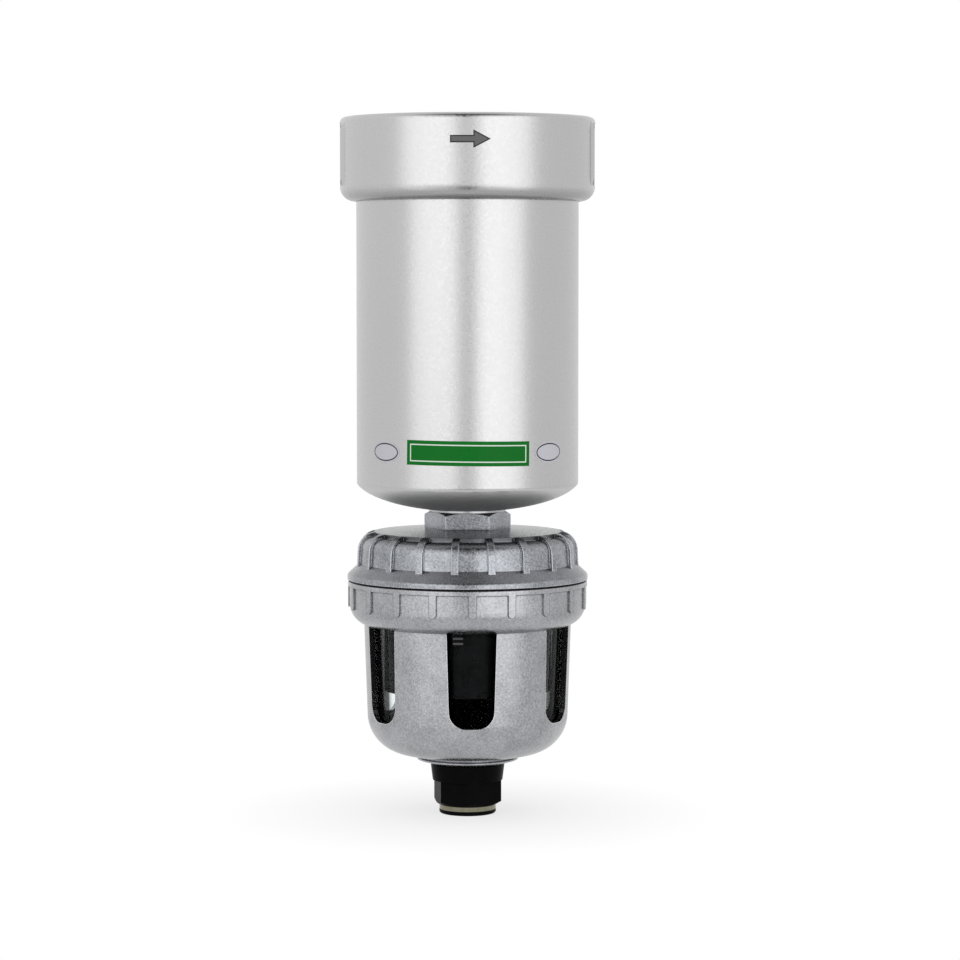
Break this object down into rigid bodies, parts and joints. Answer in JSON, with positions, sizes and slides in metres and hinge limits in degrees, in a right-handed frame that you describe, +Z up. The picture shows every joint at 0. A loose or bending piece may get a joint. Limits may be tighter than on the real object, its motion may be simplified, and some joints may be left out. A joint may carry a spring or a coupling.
{
  "type": "compressed air filter",
  "caption": "Inline compressed air filter: ported head, cylindrical housing with a filter element, and a float drain in a clear bowl with a cast guard and a turning drain cock.",
  "frame": {"origin": "centre of the drain port's end face, which is the middle of the bounding box's base", "axes": "+Z up along the filter's axis, +X towards the outlet port, -Y towards the side with the arrow"},
  "size_m": [0.092, 0.0916, 0.2515],
  "materials": {
    "satin_aluminium": "satin, fine turned grain",
    "die_cast": "die-cast, fine blasted and lacquered",
    "cast_guard": "die-cast, fine blasted and lacquered",
    "bright_plate": "bright nickel plate",
    "nickel_brass": "nickel-plated brass",
    "steel": "zinc-plated",
    "spring_steel": "bright drawn",
    "seal_rubber": "matt",
    "clear_bowl": "clear polycarbonate",
    "black_nylon": "moulded, satin",
    "black_float": "moulded, glossy",
    "acetal": "moulded, matt",
    "mesh_steel": "perforated sheet",
    "filter_media": "pleated glass fibre",
    "grey_plastic": "moulded, matt"
  },
  "bodies": {
    "filter_body": {"head": "satin_aluminium", "head_o_ring": "seal_rubber", "housing": "satin_aluminium", "tie_rod": "steel", "element_seal": "seal_rubber", "element_top_cap": "grey_plastic", "element_outer_cage": "mesh_steel", "element_media": "filter_media", "element_inner_core": "mesh_steel", "element_bottom_cap": "grey_plastic", "swirl_ring": "acetal", "baffle": "grey_plastic", "element_washer": "steel", "element_nut": "steel", "nipple": "bright_plate", "drain_cap": "die_cast", "flange_gasket": "seal_rubber", "bowl_o_ring": "seal_rubber", "bowl_guard": "cast_guard", "bowl": "clear_bowl", "valve_body": "black_nylon", "valve_body_o_ring": "seal_rubber", "bowl_nut": "black_nylon", "drain_strainer": "mesh_steel", "valve_cap": "black_nylon", "lever_pin": "steel"},
    "float": {"float": "black_float"},
    "lever": {"pilot_lever": "acetal", "pilot_pad": "seal_rubber"},
    "piston": {"piston": "acetal", "piston_o_ring": "seal_rubber", "poppet": "acetal", "poppet_seal": "seal_rubber", "piston_spring": "spring_steel"},
    "cock": {"drain_cock": "black_nylon", "cock_o_rings": "seal_rubber", "cock_circlip": "spring_steel", "port_band": "nickel_brass"}
  },
  "joints": [
    {"name": "float_slide", "type": "slide", "parent": "filter_body", "child": "float", "axis": [0, 0, 1], "range_m": [0, 0.005]},
    {"name": "lever_turn", "type": "hinge", "parent": "filter_body", "child": "lever", "pos_m": [-0.008, 0, 0.08025], "axis": [0, -1, 0], "range_deg": [0, 11.7]},
    {"name": "piston_slide", "type": "slide", "parent": "filter_body", "child": "piston", "axis": [0, 0, 1], "range_m": [0, 0.0025], "stiffness_N_per_m": 300, "springref_m": -0.004, "deforming": ["piston_spring"]},
    {"name": "cock_turn", "type": "hinge", "parent": "filter_body", "child": "cock", "pos_m": [0, 0, 0], "axis": [0, 0, 1], "range_deg": [0, 90]}
  ],
  "couplings": [
    {"joint": "lever_turn", "follows": "float_slide", "rad_per_m": 40.816}
  ]
}
